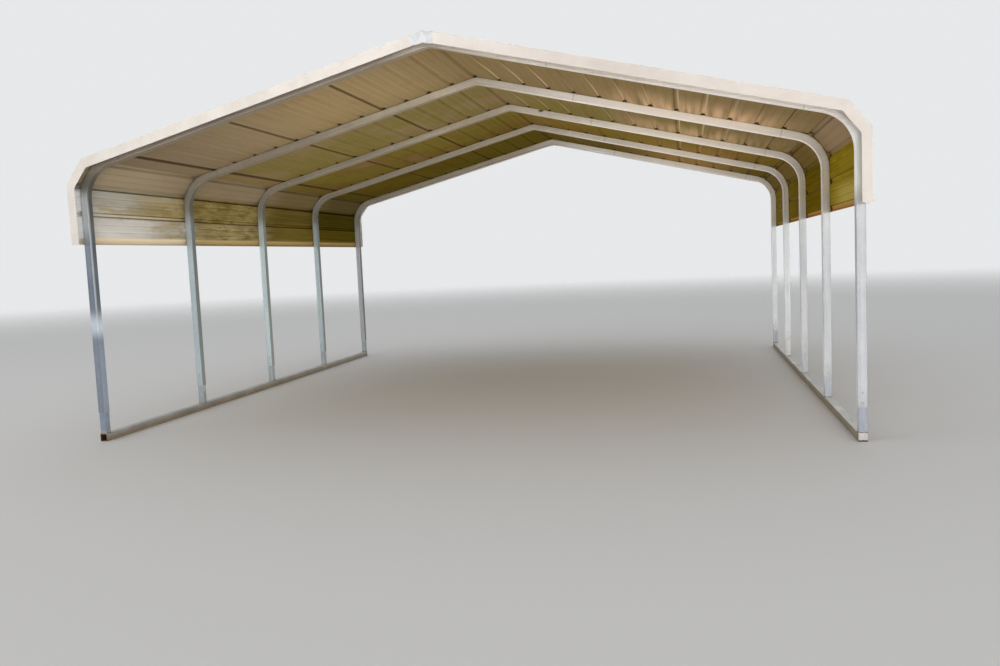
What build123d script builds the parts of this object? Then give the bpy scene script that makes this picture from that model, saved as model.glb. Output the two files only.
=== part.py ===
from build123d import *
import math
import os

# Open carport with rounded eaves: five bows of square steel tube stand on two
# ground rails and carry ribbed roof sheets that run from front to back.
# Millimetres, +Z up, front towards -Y, origin on the ground in the middle.

# Driving dimensions of the frame.
frame_width = 6096.0
eave_height = 2266.0
roof_rise = 3.0
roof_run = 12.0
bow_count = 5
bow_spacing = 1524.0
tube_size = 63.5
tube_wall = 2.77
tube_corner = 3.0
eave_bend_radius = 304.8
peak_bend_radius = 152.4
peak_arm = 914.4
eave_arm = 366.0

# Driving dimensions of the stubs that the legs are dropped over.
stub_exposed = 181.6
stub_inside_leg = 152.4
stub_wall = 2.77
sleeve_clearance = 0.4

# Driving dimensions of the ribbed sheets.
roof_overhang = 152.4
sheet_thickness = 0.55
rib_pitch = 228.6
rib_height = 19.05
rib_base = 57.0
rib_top = 22.0
ribs_per_sheet = 4
wall_rib_count = 2
lap_edge_height = 7.0
lap_lip = 12.0
minor_rib_height = 3.0
minor_rib_base = 16.0
minor_rib_top = 8.0
minor_rib_gap = 64.0

# Driving dimensions of the folded edge trim.
trim_thickness = 0.8
trim_flange = 50.8
trim_clearance = 0.2
slope_trim_face = 79.4
bend_trim_face = 73.0
wall_trim_face = 66.7
cap_arm = 76.0
cap_drop = 5.0

# Frame geometry that follows from the sizes above.
slope = math.atan2(roof_rise, roof_run)
half_tube = tube_size / 2
leg_x = frame_width / 2 - half_tube
ridge_z = eave_height + leg_x * math.tan(slope)
lower_splice = leg_x / math.cos(slope) - eave_arm
leg_bottom = tube_size + stub_exposed
stub_size = tube_size - 2 * (tube_wall + sleeve_clearance)
bow_ys = [(i - (bow_count - 1) / 2) * bow_spacing for i in range(bow_count)]
half_frame = bow_ys[-1] + half_tube
half_roof = bow_ys[-1] + roof_overhang

# The sheets bend over each eave in two equal folds, and the flat between the
# folds touches the outside of the tube's bend at its middle.
eave_turn = math.pi / 2 - slope
fold_tilt = slope + eave_turn / 2
outer_radius = eave_bend_radius + half_tube
bend_centre = Vector(leg_x - eave_bend_radius, eave_height - eave_bend_radius * math.tan(eave_turn / 2))
half_bend_flat = outer_radius * math.tan(eave_turn / 4)


def along(tilt):
    """Direction that runs outwards and down at the tilt below level."""
    return Vector(math.cos(tilt), -math.sin(tilt))


def outward(tilt):
    """Direction square to a sheet at that tilt, away from the covered space."""
    return Vector(math.sin(tilt), math.cos(tilt))


# The roof line is the outside face of the bows on the right-hand side, as
# points in X and Z: ridge, upper fold, lower fold.
bend_touch = bend_centre + outward(fold_tilt) * outer_radius
ridge_point = Vector(0, ridge_z + half_tube / math.cos(slope))
upper_fold = bend_touch - along(fold_tilt) * half_bend_flat
lower_fold = bend_touch + along(fold_tilt) * half_bend_flat

slope_length = (upper_fold - ridge_point).length
slope_rib_count = round(slope_length / rib_pitch)
wall_start = slope_length + 2 * half_bend_flat
wall_end = wall_start + wall_rib_count * rib_pitch + rib_base / 2
rib_places = [slope_length * k / slope_rib_count for k in range(slope_rib_count + 1)]
rib_places += [wall_start + k * rib_pitch for k in range(wall_rib_count + 1)]


def on_roof(distance, height=0.0):
    """Point at a distance from the ridge along the roof line, raised off it."""
    if distance <= slope_length:
        start, travelled, tilt = ridge_point, 0.0, slope
    elif distance <= wall_start:
        start, travelled, tilt = upper_fold, slope_length, fold_tilt
    else:
        start, travelled, tilt = lower_fold, wall_start, math.pi / 2
    return start + along(tilt) * (distance - travelled) + outward(tilt) * height


def mirrored_point(point):
    return Vector(-point.X, point.Y)


def shifted(points, offsets):
    """Line through the points with each stretch moved outwards by its offset."""
    directions = [(b - a).normalized() for a, b in zip(points, points[1:])]
    normals = [Vector(-d.Y, d.X) for d in directions]
    moved = [points[0] + normals[0] * offsets[0]]
    for i in range(1, len(directions)):
        before = points[i] + normals[i - 1] * offsets[i - 1]
        after = points[i] + normals[i] * offsets[i]
        turn = directions[i - 1].X * directions[i].Y - directions[i - 1].Y * directions[i].X
        gap = after - before
        reach = (gap.X * directions[i].Y - gap.Y * directions[i].X) / turn
        moved.append(before + directions[i - 1] * reach)
    moved.append(points[-1] + normals[-1] * offsets[-1])
    return moved


def slab(outline, front, depth):
    """Solid of an outline in X and Z that starts at a Y and runs backwards."""
    corners = [(p.X, front, p.Y) for p in outline]
    face = Face(Wire.make_polygon(corners, close=True))
    return extrude(face, amount=depth, dir=(0, 1, 0))


def tube_face(start, direction, size, wall):
    """Hollow square section with eased outside corners, square to a run."""
    plane = Plane(origin=start, x_dir=(0, 1, 0) if abs(direction.Y) < 0.5 else (1, 0, 0), z_dir=direction)
    outside = Rectangle(size, size)
    section = chamfer(outside.vertices(), tube_corner) - Rectangle(size - 2 * wall, size - 2 * wall)
    return plane * section


def straight_tube(start, end, size=tube_size, wall=tube_wall):
    run = end - start
    return extrude(tube_face(start, run.normalized(), size, wall), amount=run.length)


def bent_tube(points, radius):
    path = FilletPolyline(*points, radius=radius)
    return sweep(tube_face(points[0], (points[1] - points[0]).normalized(), tube_size, tube_wall), path)


def on_rafter(side, distance, y):
    """Point on a bow's centre line at a distance from the ridge down one side."""
    return Vector(side * distance * math.cos(slope), y, ridge_z - distance * math.sin(slope))


def base_rail(side):
    return straight_tube(Vector(side * leg_x, -half_frame, half_tube), Vector(side * leg_x, half_frame, half_tube))


def stubs(side):
    """One short upright for each leg, welded on top of the ground rail."""
    top = leg_bottom + stub_inside_leg
    made = [
        straight_tube(Vector(side * leg_x, y, tube_size), Vector(side * leg_x, y, top), stub_size, stub_wall)
        for y in bow_ys
    ]
    return Compound(children=made)


def bent_leg(side, y):
    """Leg that sweeps round the eave and ends a little way up the slope."""
    foot = Vector(side * leg_x, y, leg_bottom)
    eave = Vector(side * leg_x, y, eave_height)
    splice = on_rafter(side, lower_splice, y)
    return bent_tube([foot, eave, splice], eave_bend_radius)


def rafter(side, y):
    return straight_tube(on_rafter(side, peak_arm, y), on_rafter(side, lower_splice, y))


def peak_piece(y):
    return bent_tube([on_rafter(-1, peak_arm, y), Vector(0, y, ridge_z), on_rafter(1, peak_arm, y)], peak_bend_radius)


def rib(place, height=rib_height, base=rib_base, top=rib_top):
    """Points of one raised rib over a place on the roof line."""
    return [
        on_roof(place - base / 2),
        on_roof(place - top / 2, height),
        on_roof(place + top / 2, height),
        on_roof(place + base / 2),
    ]


def ridge_rib():
    """Points of the rib that straddles the ridge, from left foot to right foot."""
    right_half = rib(0)[2:]
    return [mirrored_point(p) for p in reversed(right_half)] + right_half


def pan_ribs(start, end):
    """Points of the two low stiffening ribs in the flat between two main ribs."""
    middle = (start + end) / 2
    points = []
    for place in (middle - minor_rib_gap / 2, middle + minor_rib_gap / 2):
        points += rib(place, minor_rib_height, minor_rib_base, minor_rib_top)
    return points


def under_edge(foot, shoulder):
    """Point on a rib's flank where the lower sheet of a lap stops."""
    return foot + (shoulder - foot) * (lap_edge_height / rib_height)


def roof_sheet(first, last, over_ridge):
    """Outline of a right-hand sheet from one main rib to another.

    A sheet laps over the next one down the slope. At the ridge one side's
    sheet laps over the other side's.
    """
    head = ridge_rib() if first == 0 else rib(rib_places[first])
    if first == 0 and over_ridge:
        points = [mirrored_point(on_roof(rib_base / 2 + lap_lip))] + head
        offsets = [sheet_thickness] * 4
    else:
        points = [under_edge(head[0], head[1])] + head[1:]
        offsets = [0.0] * 3
    for k in range(first, last):
        inner = pan_ribs(rib_places[k], rib_places[k + 1])
        outer_rib = rib(rib_places[k + 1])
        points += inner + outer_rib
        offsets += [0.0] * (len(inner) + len(outer_rib))
    if last < len(rib_places) - 1:
        points.append(on_roof(rib_places[last] + rib_base / 2 + lap_lip))
        offsets[-3:] = [sheet_thickness] * 3
        offsets.append(sheet_thickness)
    inside = shifted(points, offsets)
    outside = shifted(points, [value + sheet_thickness for value in offsets])
    return slab(inside + outside[::-1], -half_roof, 2 * half_roof)


def trim_lines():
    """Roof line with the far side's slope before it, so that ends meet mid-ridge."""
    return [mirrored_point(upper_fold), ridge_point, upper_fold, lower_fold, on_roof(wall_end)]


def folded_trim(top_line, bottom_line, under_line, face_front, thickness):
    """Angle trim: a face across the sheet ends and a flange over their ribs."""
    face = slab(top_line + bottom_line[::-1], face_front, thickness)
    flange = slab(top_line + under_line[::-1], face_front, thickness + trim_flange)
    return face + flange


# The flange lies on the doubled ribs of the laps, which stand highest.
trim_seat = rib_height + 2 * sheet_thickness + trim_clearance


def edge_trim():
    """Right-hand half of the front trim: down the slope, round the eave, down."""
    top = trim_seat + trim_thickness
    faces = [slope_trim_face, slope_trim_face, bend_trim_face, wall_trim_face]
    line = trim_lines()
    top_line = shifted(line, [top] * 4)[1:]
    under_line = shifted(line, [trim_seat] * 4)[1:]
    bottom_line = shifted(line, [top - face for face in faces])[1:]
    return folded_trim(top_line, bottom_line, under_line, -half_roof - trim_thickness, trim_thickness)


def ridge_cap():
    """Short bent patch over the joint of the two halves at the ridge."""
    seat = trim_seat + trim_thickness
    top = seat + trim_thickness
    line = [mirrored_point(on_roof(cap_arm)), ridge_point, on_roof(cap_arm)]
    top_line = shifted(line, [top] * 2)
    under_line = shifted(line, [seat] * 2)
    bottom_line = shifted(line, [seat - slope_trim_face - cap_drop] * 2)
    return folded_trim(top_line, bottom_line, under_line, -half_roof - 2 * trim_thickness, trim_thickness)


def write(shape, name):
    export_step(shape, f"parts/{name}.step")


def main():
    os.makedirs("parts", exist_ok=True)
    sides = {"left": -1, "right": 1}
    for name, side in sides.items():
        write(base_rail(side), f"base_rail_{name}")
        write(stubs(side), f"stubs_{name}")
        for number, y in enumerate(bow_ys, 1):
            write(bent_leg(side, y), f"bent_leg_{name}_{number}")
            write(rafter(side, y), f"rafter_{name}_{number}")
    for number, y in enumerate(bow_ys, 1):
        write(peak_piece(y), f"peak_piece_{number}")

    eave_first = slope_rib_count - 1
    breaks = list(range(0, eave_first, ribs_per_sheet)) + [eave_first, len(rib_places) - 1]
    for number, (first, last) in enumerate(zip(breaks, breaks[1:]), 1):
        write(roof_sheet(first, last, True), f"roof_sheet_right_{number}")
        write(mirror(roof_sheet(first, last, False), about=Plane.YZ), f"roof_sheet_left_{number}")

    front_right = edge_trim()
    front_left = mirror(front_right, about=Plane.YZ)
    front_cap = ridge_cap()
    write(front_right, "front_trim_right")
    write(front_left, "front_trim_left")
    write(front_cap, "front_ridge_cap")
    write(mirror(front_right, about=Plane.XZ), "back_trim_right")
    write(mirror(front_left, about=Plane.XZ), "back_trim_left")
    write(mirror(front_cap, about=Plane.XZ), "back_ridge_cap")


main()
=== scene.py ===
import math
import random

import bmesh
import bpy
from mathutils import Matrix, Vector


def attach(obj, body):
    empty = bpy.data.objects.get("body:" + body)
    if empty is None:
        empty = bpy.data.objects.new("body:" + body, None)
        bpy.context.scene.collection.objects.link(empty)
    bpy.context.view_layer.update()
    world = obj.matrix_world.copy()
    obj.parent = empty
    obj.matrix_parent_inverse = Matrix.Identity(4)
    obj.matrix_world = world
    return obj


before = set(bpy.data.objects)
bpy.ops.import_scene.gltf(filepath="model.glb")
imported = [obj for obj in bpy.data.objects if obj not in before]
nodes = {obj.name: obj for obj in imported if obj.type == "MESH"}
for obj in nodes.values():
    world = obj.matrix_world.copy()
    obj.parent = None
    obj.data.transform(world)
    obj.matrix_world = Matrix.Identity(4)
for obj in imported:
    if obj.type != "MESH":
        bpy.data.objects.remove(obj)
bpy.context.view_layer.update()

# Driving dimensions, the same as in the part, in metres.
FRAME_WIDTH = 6.096
EAVE_Z = 2.266
SLOPE = math.atan2(3.0, 12.0)
BAY = 1.524
TUBE = 0.0635
TUBE_WALL = 0.00277
SLEEVE_CLEARANCE = 0.0004
BEND_RADIUS = 0.3048
PEAK_ARM = 0.9144
EAVE_ARM = 0.366
STUB_EXPOSED = 0.1816
ROOF_OVERHANG = 0.1524
SHEET = 0.00055
RIB_HEIGHT = 0.01905
RIB_BASE = 0.057
RIBS_PER_SHEET = 4
WALL_PITCH = 0.2286
WALL_RIBS = 2
TRIM_SHEET = 0.0008
TRIM_CLEARANCE = 0.0002
BEND_FACE = 0.0730
WALL_FACE = 0.0667
SIDES = (-1, 1)

# Ribs down each slope. Their pitch is rounded up, so the last trim screw stands just past the fold.
SLOPE_RIBS = 13
RIB_PITCH = 0.23038

# Frame geometry that follows from the sizes above.
LEG_X = FRAME_WIDTH / 2 - TUBE / 2
RIDGE_Z = EAVE_Z + LEG_X * math.tan(SLOPE)
LOWER_SPLICE = LEG_X / math.cos(SLOPE) - EAVE_ARM
LEG_BOTTOM = TUBE + STUB_EXPOSED
HALF_STUB = TUBE / 2 - TUBE_WALL - SLEEVE_CLEARANCE
BOW_YS = [k * BAY for k in (-2, -1, 0, 1, 2)]
HALF_ROOF = BOW_YS[-1] + ROOF_OVERHANG
EAVE_TURN = math.pi / 2 - SLOPE
BEND_X = LEG_X - BEND_RADIUS
BEND_Z = EAVE_Z - BEND_RADIUS * math.tan(EAVE_TURN / 2)
OUTER_RADIUS = BEND_RADIUS + TUBE / 2
FOLD_TILT = SLOPE + EAVE_TURN / 2
HALF_FLAT = OUTER_RADIUS * math.tan(EAVE_TURN / 4)
TRIM_TOP = RIB_HEIGHT + 2 * SHEET + TRIM_CLEARANCE + TRIM_SHEET
TRIM_FRONT = HALF_ROOF + TRIM_SHEET


# Roof line on which the sheets lie, so that fasteners, laps and colours follow it.
def along(tilt):
    return Vector((math.cos(tilt), 0.0, -math.sin(tilt)))


def outward(tilt):
    return Vector((math.sin(tilt), 0.0, math.cos(tilt)))


BEND_TOUCH = Vector((BEND_X, 0.0, BEND_Z)) + outward(FOLD_TILT) * OUTER_RADIUS
RIDGE_POINT = Vector((0.0, 0.0, RIDGE_Z + TUBE / 2 / math.cos(SLOPE)))
UPPER_FOLD = BEND_TOUCH - along(FOLD_TILT) * HALF_FLAT
LOWER_FOLD = BEND_TOUCH + along(FOLD_TILT) * HALF_FLAT
SLOPE_LENGTH = (UPPER_FOLD - RIDGE_POINT).length
WALL_START = SLOPE_LENGTH + 2 * HALF_FLAT
WALL_LENGTH = WALL_RIBS * WALL_PITCH + RIB_BASE / 2


def on_roof(side, y, distance, height):
    """Point on one side's roof line, raised off it, and the direction away from the covered space."""
    if distance <= SLOPE_LENGTH:
        start, travelled, tilt = RIDGE_POINT, 0.0, SLOPE
    elif distance <= WALL_START:
        start, travelled, tilt = UPPER_FOLD, SLOPE_LENGTH, FOLD_TILT
    else:
        start, travelled, tilt = LOWER_FOLD, WALL_START, math.pi / 2
    point = start + along(tilt) * (distance - travelled) + outward(tilt) * height
    away = outward(tilt)
    return Vector((side * point.x, y, point.z)), Vector((side * away.x, 0.0, away.z))


# Node building.
def rgb(red, green, blue):
    return (red, green, blue, 1.0)


def grey(level):
    return rgb(level, level, level)


class Graph:
    """Short names for the shader nodes of one material."""

    def __init__(self, name):
        self.material = bpy.data.materials.new(name)
        self.material.use_nodes = True
        self.tree = self.material.node_tree
        self.tree.nodes.clear()
        self.output = self.tree.nodes.new("ShaderNodeOutputMaterial")

    def feed(self, socket, value):
        if isinstance(value, bpy.types.NodeSocket):
            self.tree.links.new(value, socket)
        elif value is not None:
            socket.default_value = value

    def add(self, kind, *values, **settings):
        node = self.tree.nodes.new("ShaderNode" + kind)
        for key, value in settings.items():
            setattr(node, key, value)
        for socket, value in zip(node.inputs, values):
            self.feed(socket, value)
        return node

    def place(self):
        return self.add("TexCoord").outputs["Object"]

    def axes(self, vector):
        return self.add("SeparateXYZ", vector).outputs[:3]

    def normal(self):
        return self.axes(self.add("NewGeometry").outputs["Normal"])

    def maths(self, operation, *values):
        return self.add("Math", *values, operation=operation).outputs[0]

    def product(self, *values):
        total = values[0]
        for value in values[1:]:
            total = self.maths("MULTIPLY", total, value)
        return total

    def less(self, value):
        """One minus the value."""
        return self.maths("SUBTRACT", 1.0, value)

    def offset(self, vector, centre):
        return self.add("VectorMath", vector, centre, operation="SUBTRACT").outputs[0]

    def length(self, vector):
        return self.add("VectorMath", vector, operation="LENGTH").outputs["Value"]

    def stretched(self, vector, scale):
        node = self.add("Mapping", vector)
        node.inputs["Scale"].default_value = scale
        return node.outputs[0]

    def noise(self, vector, scale, detail=3.0, roughness=0.5, distortion=0.0):
        node = self.add("TexNoise", vector)
        node.inputs["Scale"].default_value = scale
        node.inputs["Detail"].default_value = detail
        node.inputs["Roughness"].default_value = roughness
        node.inputs["Distortion"].default_value = distortion
        return node.outputs[0]

    def cells(self, vector, scale):
        node = self.add("TexVoronoi", vector)
        node.inputs["Scale"].default_value = scale
        return node.outputs["Color"]

    def ramp(self, value, low, high, start=0.0, end=1.0):
        """Soft step from start, where the value is low, to end, where it is high."""
        return self.add("MapRange", value, low, high, start, end, interpolation_type="SMOOTHSTEP").outputs[0]

    def band(self, value, low, high, soft):
        """One between low and high, zero outside, with soft edges."""
        rise = self.ramp(value, low - soft, low + soft)
        fall = self.ramp(value, high + soft, high - soft)
        return self.product(rise, fall)

    def mix(self, factor, a, b, blend="MIX"):
        node = self.add("Mix", data_type="RGBA", blend_type=blend)
        self.feed(node.inputs[0], factor)
        self.feed(node.inputs[6], a)
        self.feed(node.inputs[7], b)
        return node.outputs[2]

    def coat(self, color, paint, *masks):
        """Paint over a colour, as strong as the product of the masks."""
        return self.mix(self.product(*masks), color, paint)

    def tone(self, color, factor, *masks):
        """Colour times a factor, as strong as the product of the masks."""
        return self.mix(self.product(*masks), color, factor, "MULTIPLY")

    def bump(self, height, strength, distance):
        node = self.add("Bump")
        node.inputs["Strength"].default_value = strength
        node.inputs["Distance"].default_value = distance
        self.feed(node.inputs["Height"], height)
        return node.outputs[0]

    def finish(self, color, roughness, metallic=0.0, normal=None, specular=0.5):
        shader = self.add("BsdfPrincipled")
        self.feed(shader.inputs["Base Color"], color)
        self.feed(shader.inputs["Roughness"], roughness)
        self.feed(shader.inputs["Metallic"], metallic)
        self.feed(shader.inputs["Normal"], normal)
        self.feed(shader.inputs["Specular IOR Level"], specular)
        self.tree.links.new(shader.outputs[0], self.output.inputs[0])
        return self.material


# Steel of the bows. The two spans set the front and the back bow apart from the others.
FRONT_BOW = (-2.8, -2.95)
BACK_BOW = (2.7, 2.9)
SEAM = 0.002
STAIN_PLACE = (0.350, -0.032, 2.955)
STAIN_STRETCH = (0.6, 1.0, 1.4)


class BowPlace:
    """Coordinates that follow a bow's tube down the slope, round the eave and down the leg."""

    def __init__(self, g):
        self.where = g.place()
        self.x, self.y, self.z = g.axes(self.where)
        across = g.maths("ABSOLUTE", self.x)
        dx = g.maths("SUBTRACT", across, BEND_X)
        dz = g.maths("SUBTRACT", self.z, BEND_Z)
        turn = g.maths("ARCTAN2", dz, dx)
        turn = g.maths("MINIMUM", g.maths("MAXIMUM", turn, 0.0), EAVE_TURN)
        cosine = g.maths("COSINE", turn)
        sine = g.maths("SINE", turn)
        self.out = g.maths("ADD", g.product(dx, cosine), g.product(dz, sine))
        run = g.maths("SUBTRACT", g.product(dz, cosine), g.product(dx, sine))
        run = g.maths("MULTIPLY_ADD", turn, BEND_RADIUS, run)
        self.tube = g.add("CombineXYZ", self.out, self.y, run).outputs[0]
        below_ridge = g.maths("SUBTRACT", self.z, RIDGE_Z)
        level_part = g.product(across, math.cos(SLOPE))
        self.down_slope = g.maths("SUBTRACT", level_part, g.product(below_ridge, math.sin(SLOPE)))
        self.front = g.ramp(self.y, *FRONT_BOW)
        self.back = g.ramp(self.y, *BACK_BOW)


def right_bow_color(g, at, light):
    """Painted light and shade on the right bows: warm and pale under the roof, cool down the legs, browner
    and darker beside the side sheets.
    """
    warm = g.mix(light, rgb(0.63, 0.575, 0.515), rgb(0.89, 0.85, 0.79))
    # Painted light on the front bow towards the eave.
    by_eave = g.product(at.front, g.ramp(at.x, 0.9, 2.2), g.ramp(at.x, 2.95, 2.7, 0.4, 1.0))
    warm = g.mix(by_eave, warm, g.mix(light, rgb(0.76, 0.72, 0.67), rgb(0.98, 0.96, 0.93)))
    warm = g.mix(at.back, warm, g.mix(light, rgb(0.78, 0.75, 0.72), rgb(0.98, 0.96, 0.94)))
    # Behind the front bow the slopes are painted nearly white, as painted light, from farther out on each
    # next bow.
    far_out = g.ramp(g.maths("MULTIPLY_ADD", at.y, -0.18, at.x), 0.5, 1.4)
    behind_front = g.product(g.ramp(at.y, -2.6, -2.3), far_out, g.ramp(at.z, 2.16, 2.30))
    warm = g.mix(behind_front, warm, g.mix(light, rgb(0.90, 0.86, 0.80), rgb(1.0, 0.97, 0.93)))
    # Painted shade, with a warm painted reflection, beside the side sheets.
    painted_shade_beside_wall = g.product(g.ramp(at.z, 2.10, 1.95), g.band(at.y, -2.4, 0.8, 0.3), 0.75)
    warm = g.mix(painted_shade_beside_wall, warm, g.mix(light, rgb(0.62, 0.54, 0.42), rgb(0.84, 0.75, 0.62)))
    # The legs are painted brighter towards the back, as painted light.
    cool = g.mix(light, rgb(0.68, 0.71, 0.75), rgb(0.90, 0.92, 0.95))
    level = g.maths("ADD", g.ramp(at.y, -2.6, -1.8, 0.53, 0.63), g.ramp(at.y, 0.1, 1.3, 0.0, 0.23))
    cool = g.tone(cool, level, 1.0)
    down_leg = g.ramp(at.z, 2.0, 1.56)
    color = g.mix(down_leg, warm, cool)
    # The front leg is painted brighter low down and nearly white just under its bend, as painted light.
    low_down = g.ramp(at.z, 1.3, 0.4)
    color = g.tone(color, rgb(1.18, 1.18, 1.20), at.front, low_down)
    painted_light_under_bend = g.band(at.z, 1.74, 2.20, 0.08)
    return g.coat(color, rgb(0.93, 0.95, 0.95), at.front, g.ramp(at.x, 2.6, 2.9), painted_light_under_bend)


def left_bow_color(g, at, light):
    """Brown-grey on the slope, darkest round the bend, bluish down the leg: dirt with painted shade and
    painted reflection.
    """
    slope = g.mix(light, rgb(0.36, 0.31, 0.235), rgb(0.53, 0.47, 0.37))
    towards_eave = g.ramp(at.x, 0.0, -1.9)
    slope = g.tone(slope, rgb(0.60, 0.60, 0.61), towards_eave, g.less(at.front))
    bend = g.mix(light, rgb(0.17, 0.165, 0.140), rgb(0.27, 0.26, 0.22))
    leg = g.mix(light, rgb(0.31, 0.37, 0.40), rgb(0.43, 0.50, 0.535))
    middle_bow = g.band(at.y, -0.3, 0.3, 0.1)
    leg = g.tone(leg, rgb(1.15, 1.15, 1.12), middle_bow)
    leg = g.tone(leg, rgb(0.86, 0.75, 0.74), at.back)
    round_bend = g.ramp(at.z, 2.32, 2.16)
    down_leg = g.ramp(at.z, 2.04, 1.84)
    return g.mix(down_leg, g.mix(round_bend, slope, bend), leg)


def front_left_color(g, at, light, color):
    """Painted reflection and shade on the front left bow: bluer than the other left bows, darkest half way
    down the leg, with one pale patch of painted sky reflection.
    """
    slope = g.tone(color, rgb(0.66, 0.66, 0.70), 1.0)
    upper = g.mix(light, rgb(0.33, 0.35, 0.36), rgb(0.45, 0.475, 0.49))
    lower = g.mix(light, rgb(0.108, 0.132, 0.172), rgb(0.176, 0.208, 0.262))
    down_bend = g.ramp(at.z, 2.14, 2.02)
    down_leg = g.ramp(at.z, 1.86, 1.60)
    near_foot = g.ramp(at.z, 0.92, 0.80, 0.0, 0.28)
    # A pale patch of painted sky reflection across the leg.
    patch = g.band(at.z, 0.90, 1.06, 0.07)
    color = g.mix(down_leg, g.mix(down_bend, slope, upper), lower)
    color = g.mix(near_foot, color, rgb(0.30, 0.33, 0.38))
    return g.mix(patch, color, rgb(0.48, 0.52, 0.58))


def painted_face_shade(g, at, color, front_left):
    """Painted shade on the left tubes' faces towards the covered space, and on faces turned down under the
    ridge.
    """
    normal = g.normal()
    inward = g.maths("MAXIMUM", normal[0], g.product(normal[2], -1.0))
    inner_face = g.product(g.ramp(inward, 0.6, 0.75), g.ramp(at.x, 0.3, -0.3))
    # On the front leg the painted shade is strong under the bend and weak lower down, and low down turns
    # into painted light.
    front_leg = g.mix(g.ramp(at.z, 1.95, 1.40), grey(0.28), rgb(0.90, 0.93, 0.88))
    front_leg = g.mix(g.ramp(at.z, 1.30, 0.85), front_leg, rgb(1.46, 1.54, 1.60))
    leg = g.mix(front_left, rgb(0.50, 0.50, 0.45), front_leg)
    down_leg = g.ramp(at.z, 2.15, 2.0)
    color = g.tone(color, g.mix(down_leg, rgb(0.46, 0.42, 0.33), leg), inner_face)
    # Painted shade on the faces turned down, under the ridge.
    faces_down = g.ramp(normal[2], -0.7, -0.85)
    return g.coat(color, rgb(0.20, 0.16, 0.10), faces_down, g.ramp(at.x, 0.9, 0.1), 0.75)


def marked(g, at, color):
    """Painted highlight down the front left leg's inner corner, dark splices, one stain and grimy feet."""
    corner_highlight = g.product(
        g.ramp(at.y, -3.06, -3.066),
        g.ramp(at.x, 0.0, -0.4),
        g.band(at.out, 0.272, 0.279, 0.002),
        g.band(at.z, 1.05, 2.02, 0.15),
    )
    color = g.coat(color, rgb(0.80, 0.85, 0.92), corner_highlight, 0.45)
    upper = g.band(at.down_slope, PEAK_ARM - SEAM, PEAK_ARM + SEAM, SEAM)
    lower = g.band(at.down_slope, LOWER_SPLICE - SEAM, LOWER_SPLICE + SEAM, SEAM)
    on_slope = g.ramp(at.z, 2.1, 2.2)
    more_right = g.ramp(at.x, -0.5, 0.5, 0.4, 0.6)
    color = g.coat(color, rgb(0.10, 0.085, 0.07), g.maths("ADD", upper, lower), on_slope, more_right)
    from_stain = g.length(g.stretched(g.offset(at.where, STAIN_PLACE), STAIN_STRETCH))
    from_stain = g.maths("MULTIPLY_ADD", g.noise(at.where, 60.0, 3.0), 0.02, from_stain)
    color = g.mix(g.ramp(from_stain, 0.032, 0.022), color, rgb(0.07, 0.05, 0.03))
    patches = g.ramp(g.noise(at.where, 11.0, 5.0, 0.65), 0.4, 0.75)
    return g.coat(color, rgb(0.26, 0.20, 0.14), g.ramp(at.z, 0.42, 0.24), patches, 0.4)


def bow_steel():
    """Dull zinc with long streaks, with painted light on the right and painted shade and dirt on the left.
    """
    g = Graph("bow_steel")
    at = BowPlace(g)
    crystals = g.axes(g.cells(at.where, 90.0))[0]
    streaks = g.noise(g.stretched(at.tube, (46.0, 46.0, 0.9)), 1.0, 4.0, 0.6)
    fine_streaks = g.noise(g.stretched(at.tube, (140.0, 140.0, 3.0)), 1.0, 3.0, 0.6)
    blotches = g.noise(at.where, 3.0, 4.0, 0.6)
    shade = g.maths("MULTIPLY_ADD", crystals, 0.08, g.product(streaks, 0.50))
    shade = g.maths("MULTIPLY_ADD", fine_streaks, 0.15, shade)
    shade = g.maths("MULTIPLY_ADD", blotches, 0.35, shade)
    light = g.ramp(shade, 0.36, 0.74)
    left = g.ramp(at.x, 0.6, -0.5)
    color = g.mix(left, right_bow_color(g, at, light), left_bow_color(g, at, light))
    front_left = g.product(at.front, g.ramp(at.x, 0.2, -0.4))
    color = g.mix(front_left, color, front_left_color(g, at, light, color))
    color = marked(g, at, painted_face_shade(g, at, color, front_left))
    roughness = g.ramp(shade, 0.3, 1.0, 0.56, 0.40)
    return g.finish(color, roughness, 0.10, g.bump(streaks, 0.10, 0.002))


# Steel of the ground rails and stubs.
INSIDE_REACH = 0.0294


def rail_tones(g, x, z):
    """Tones of the left and right rail: painted light on top and on the outer side, darker and browner on
    the inner side with dirt and painted shade, browner low down.
    """
    normal = g.normal()
    top = g.ramp(normal[2], 0.4, 0.8)
    outer = g.ramp(g.product(normal[0], g.maths("SIGN", x)), -0.4, 0.2)
    outer_side = rgb(0.90, 0.86, 0.78)
    left_side = g.mix(g.ramp(z, 0.052, 0.020), rgb(0.84, 0.78, 0.66), rgb(0.76, 0.58, 0.36))
    left_side = g.mix(outer, left_side, outer_side)
    right_side = g.mix(outer, rgb(0.62, 0.50, 0.33), outer_side)
    return g.mix(top, left_side, rgb(1.10, 1.02, 0.84)), g.mix(top, right_side, rgb(1.60, 1.48, 1.25))


def stub_tones(g, y, z):
    """Tones of the left and right stubs: bluer at the front left, paler behind on the right, with painted
    sunlight on the fourth right stub.
    """
    front_left = g.mix(g.ramp(z, 0.115, 0.075), rgb(0.48, 0.54, 0.62), rgb(0.74, 0.68, 0.60))
    left = g.mix(g.ramp(y, *FRONT_BOW), rgb(0.72, 0.74, 0.70), front_left)
    right = g.mix(g.ramp(y, -2.6, -1.8), rgb(0.82, 0.82, 0.84), rgb(1.02, 1.01, 0.96))
    # Painted sunlight on the fourth right stub.
    sunlit_fourth_stub = g.band(y, 1.2, 2.0, 0.3)
    return left, g.mix(sunlit_fourth_stub, right, rgb(1.46, 1.36, 1.20))


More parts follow.
